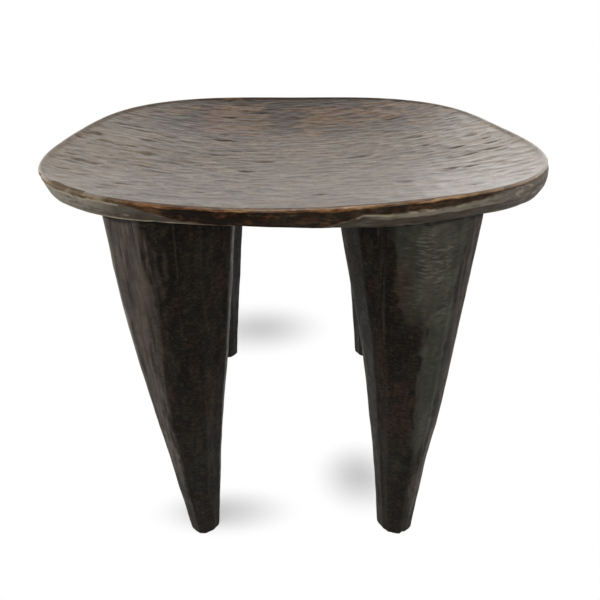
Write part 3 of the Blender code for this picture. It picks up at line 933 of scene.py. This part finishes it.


# %% [markdown]
# ## Seat finish
# Adzed hardwood, handled for years: grey-brown with a soft sheen, darker in the bites between the
# strokes, partly dirt in the hollows and partly painted shade. Towards the back it is painted darker
# and warmer: partly its own colour, partly painted shade where the far slope of the dish mirrors less
# light. Paler tints on the right and at both ends are painted sheen. The grain runs with the strokes.
# The edge and the underside share these colours but are drier: smoke has left them nearly without
# sheen.

# %% Finish: adzed hardwood of the seat, handled on top and smoked below
SEAT_PATTERNS = {
    "cloud": ((0.06, 0.06, 0.06), 3.0),
    "blush": ((0.03, 0.022, 0.022), 4.0),
    "band": ((0.04, 0.01, 0.01), 3.0),
    "spot": ((0.01, 0.007, 0.007), 4.0),
    "streak": ((0.016, 0.0045, 0.0045), 3.0),
    "fine": ((0.006, 0.002, 0.002), 3.0),
    "grit": ((0.0034, 0.0022, 0.0022), 2.0),
    "level": ((0.014, 0.014, 0.0022), 3.0),
}
SEAT_GROUND = "#6b543d"
FORWARD = ("back", 1.3, 0.2)  # all but the far side
SEAT_LAYERS = (
    (0.5, "#685645", ("cloud", 0.35, 0.65)),
    (0.7, "#35261a", ("tone", 0.2, 0.95)),
    (0.4, "#8c7962", ("tone", 0.35, 0.0), ("back", 1.0, 0.2)),
    (0.5, "#402f22", ("band", 0.52, 0.68)),
    (0.4, "#78654f", ("band", 0.46, 0.32)),
    # darker and warmer towards the back: partly its own colour, partly painted shade
    (0.92, "#2b1c10", "back"),
    (0.8, "#7f5c37", "warm", ("blush", 0.3, 0.46), ("spot", 0.32, 0.52)),
    (0.6, "#94744a", "warm", ("blush", 0.38, 0.54), ("fine", 0.46, 0.6)),
    (0.7, "#271a12", "warm", ("band", 0.52, 0.62)),
    (0.5, "#5c2f20", "ruddy"),
    (0.32, "#a69480", ("streak", 0.53, 0.66), FORWARD),
    (0.42, "#2d2017", ("streak", 0.48, 0.34)),
    (0.18, "#a3927d", ("fine", 0.54, 0.7), FORWARD),
    (0.26, "#2a1f17", ("fine", 0.46, 0.32)),
    (0.55, "#21170f", ("grit", 0.47, 0.34)),
    (0.32, "#a8967f", ("grit", 0.54, 0.7), ("back", 1.0, 0.2)),
    # dark in the bites: partly dirt in the hollows, partly painted shade
    (0.6, "#231810", ("bite", 0.1, 0.6)),
    # paler on the right towards the front: painted sheen
    (0.12, "#a4937f", "right", ("back", 0.8, 0.1)),
    # paler towards both ends: painted sheen
    (0.22, "#a9987f", "tips"),
    (1.0, "#4a4239", "below"),
    (0.6, "#2b231c", "under"),
    (1.0, "#8c8578", "below", "left"),
    (0.3, "#a39b8a", "below", ("left", 0.3, 1.0), ("spot", 0.5, 0.66)),
    (0.3, "#55524a", "below", ("left", 0.2, 1.0), ("spot", 0.5, 0.38)),
    (0.25, "#9a9382", "below", ("left", 0.2, 1.0), ("fine", 0.53, 0.66)),
    (0.4, "#3b372f", "below", ("fine", 0.48, 0.36)),
    (0.6, "#2a241e", "below", ("level", 0.48, 0.34)),
    (0.35, "#7d7467", "below", ("level", 0.54, 0.7)),
    # the ledge painted pale: partly rubbed wood, partly a painted highlight where it faces up
    (0.85, "#8a8273", "ledge"),
    (0.5, "#4a443c", "ledge", ("level", 0.48, 0.38)),
    (1.0, "#140b06", "black"),
    (0.75, "#3f3427", "black", "right"),
    (0.65, "#4c2a16", "black", ("level", 0.53, 0.67)),
    (0.7, "#64492f", "black", ("thin", 0.5, 1.0)),
    (0.6, "#120b06", "black", ("spot", 0.5, 0.38)),
    (0.42, "#6d4b2d", "black", ("spot", 0.48, 0.64), ("fine", 0.44, 0.62)),
    (0.55, "#160d07", "black", ("fine", 0.49, 0.38)),
    (0.8, "#776f66", "tip"),
    (0.62, "#b0a592", "tip", ("spot", 0.48, 0.62), ("fine", 0.46, 0.58)),
    (0.6, "#3a332e", "tip", ("level", 0.49, 0.36)),
    (0.9, "#835a36", "honey"),
    (0.85, "#b58f5f", "honey", ("blush", 0.46, 0.6)),
    (0.85, "#4b2a13", "honey", ("spot", 0.5, 0.36)),
    (0.65, "#38200f", "honey", ("level", 0.47, 0.36)),
    (0.6, "#c3a27a", "honey", ("level", 0.56, 0.68)),
    (0.7, "#ae9a83", "honey", "tips"),
    (0.75, "#5f5040", "brink"),
    # pale: the rubbed corner and chips, with a painted highlight along the foot of the edge at both ends
    (0.8, "#aca187", "pale"),
)
SEAT_FINISHES = {  # least and most roughness, specular level, wax
    "adzed_hardwood_handled": ((0.38, 0.52), 0.6, 1.0),  # a pale sheen at a low angle
    "adzed_hardwood_smoked": ((0.45, 0.6), 0.06, 0.0),  # dry, nearly without sheen
}
SEAT_RAISED = ("streak", 0.0015)  # pattern and its height in metres
SHEEN_ROWS = 3  # rows of the corner that are handled like the top
seat_marks = [mark for mark in seat_wear if mark != "grain_place"]
for name, (rough, shine, wax) in SEAT_FINISHES.items():
    finish = make_finish(
        name, "grain_place", SEAT_PATTERNS, seat_marks, SEAT_GROUND, SEAT_LAYERS,
        rough, shine, wax, SEAT_RAISED,
    )
    seat.data.materials.append(finish)
first = np.concatenate([top_faces[:, 0], side_faces[:, 0], end_faces[:, 0]])
smoked = np.arange(len(first)) >= len(top_faces) + SHEEN_ROWS * count
smoked = smoked | (seat_wear["brink"][first] > 0.5)
seat.data.polygons.foreach_set("material_index", smoked.astype(np.int32))
print("seat finishes", list(SEAT_FINISHES), "layers", len(SEAT_LAYERS))

# %% [markdown]
# ## Leg finish
# The same wood, smoke-dark and dry: nearly black brown, some flats greenish grey, reddish or dusty,
# the dusty and rubbed ones partly painted sheen. The ridges between flats are painted lighter: partly
# rubbed wood, partly painted highlight. A thin line under the seat is painted dark: painted shade,
# partly dirt. The log's grain lies across the legs, so fine level lines run round them, and the tool
# has drawn faint upright streaks.

# %% Finish: smoke-dark hewn hardwood of the legs
LEG_PATTERNS = {
    "cloud": ((0.04, 0.04, 0.06), 3.0),
    "moss": ((0.018, 0.018, 0.026), 3.0),
    "rust": ((0.015, 0.015, 0.021), 3.0),
    "spot": ((0.008, 0.008, 0.008), 4.0),
    "lines": ((0.007, 0.007, 0.0016), 3.0),
    "drawn": ((0.0035, 0.0035, 0.045), 2.0),
    "grit": ((0.0028, 0.0028, 0.002), 2.0),
}
SOOT = "#0a0805"
NOT_GREEN, NOT_DUST_AND_SHEEN = ("green", 0.6, 0.1), ("dust_and_sheen", 0.8, 0.1)
LEG_LAYERS = (
    (0.7, "#1f1711", ("cloud", 0.4, 0.65)),
    (0.65, "#1d2521", ("moss", 0.5, 0.62)),
    (0.6, "#33221b", ("rust", 0.52, 0.64)),
    (0.6, "#312a1f", ("rust", 0.46, 0.36)),
    (0.7, "#090706", ("moss", 0.45, 0.35)),
    (0.5, "#0c0a08", ("cut_tone", 0.4, 0.9)),
    (0.3, "#2d2721", ("nick_tone", 0.5, 1.0)),
    (0.8, "#3f4137", "green"),
    (0.5, "#4f5145", ("green", 0.3, 1.0), ("rust", 0.5, 0.6)),
    (0.45, "#2f2f29", ("green", 0.3, 1.0), ("rust", 0.47, 0.38)),
    (0.65, "#36251e", "red"),
    # pale dusty flats: dust, and on the outer flats of the front legs partly painted sheen
    (0.8, "#59514a", "dust_and_sheen"),
    (0.35, "#756d61", "dust_and_sheen", ("drawn", 0.45, 0.62)),
    (0.4, "#2b251f", "dust_and_sheen", ("drawn", 0.46, 0.34)),
    (0.3, "#2e2822", "dust_and_sheen", ("rust", 0.52, 0.4)),
    (0.25, "#221d19", "dust_and_sheen", ("spot", 0.5, 0.36)),
    (0.75, "#0d0b08", "sooty"),
    # pale rubbed flats: partly bare wood, partly a painted highlight on edges facing the side lights
    (0.85, "#958d82", "rubbed_and_highlight"),
    (0.6, SOOT, ("spot", 0.46, 0.34), ("green", 0.9, 0.1), NOT_DUST_AND_SHEEN),
    (0.36, "#3f3426", ("spot", 0.54, 0.68)),
    (0.28, "#8f8b7c", ("rubbed_and_highlight", 0.02, 0.12), ("green", 0.4, 1.0), ("lines", 0.5, 0.66), ("moss", 0.44, 0.56)),
    (0.26, "#6b685d", ("lines", 0.52, 0.68), ("green", 0.2, 1.0), ("spot", 0.42, 0.58)),
    (0.45, "#26251f", ("lines", 0.48, 0.36), ("green", 0.2, 1.0)),
    (0.6, SOOT, ("lines", 0.48, 0.35), ("moss", 0.36, 0.5), NOT_GREEN, NOT_DUST_AND_SHEEN),
    (0.18, "#493d2c", ("lines", 0.53, 0.66), ("rust", 0.42, 0.56)),
    (0.2, "#403527", ("drawn", 0.55, 0.72)),
    (0.5, SOOT, ("drawn", 0.44, 0.3), NOT_GREEN),
    (0.6, SOOT, ("grit", 0.47, 0.34), NOT_GREEN, ("dust_and_sheen", 0.9, 0.3)),
    (0.28, "#483d2e", ("grit", 0.55, 0.7)),
    # dark under the seat: painted shade, partly dirt
    (0.75, SOOT, ("shade_and_grime", 0.0, 0.8)),
    # lighter ridges between flats: partly rubbed wood, partly painted highlight
    (0.24, "#574f44", ("corner", 0.5, 1.0), ("drawn", 0.36, 0.6)),
    (0.25, "#5d564d", ("nick_ridge", 0.85, 1.0), ("grit", 0.45, 0.6)),
)
LEG_GROUND = "#0d0905"
LEG_FINISH = ((0.42, 0.58), 0.07, 0.0)  # roughness, specular level, wax: dark and dry
LEG_RAISED = ("lines", 0.0006)
leg_marks = [*KINDS, *marks]
finish = make_finish(
    "hewn_hardwood_smoked", None, LEG_PATTERNS, leg_marks, LEG_GROUND, LEG_LAYERS, *LEG_FINISH, LEG_RAISED
)
for leg in legs.values():
    leg.data.materials.append(finish)
print("leg finish layers", len(LEG_LAYERS))
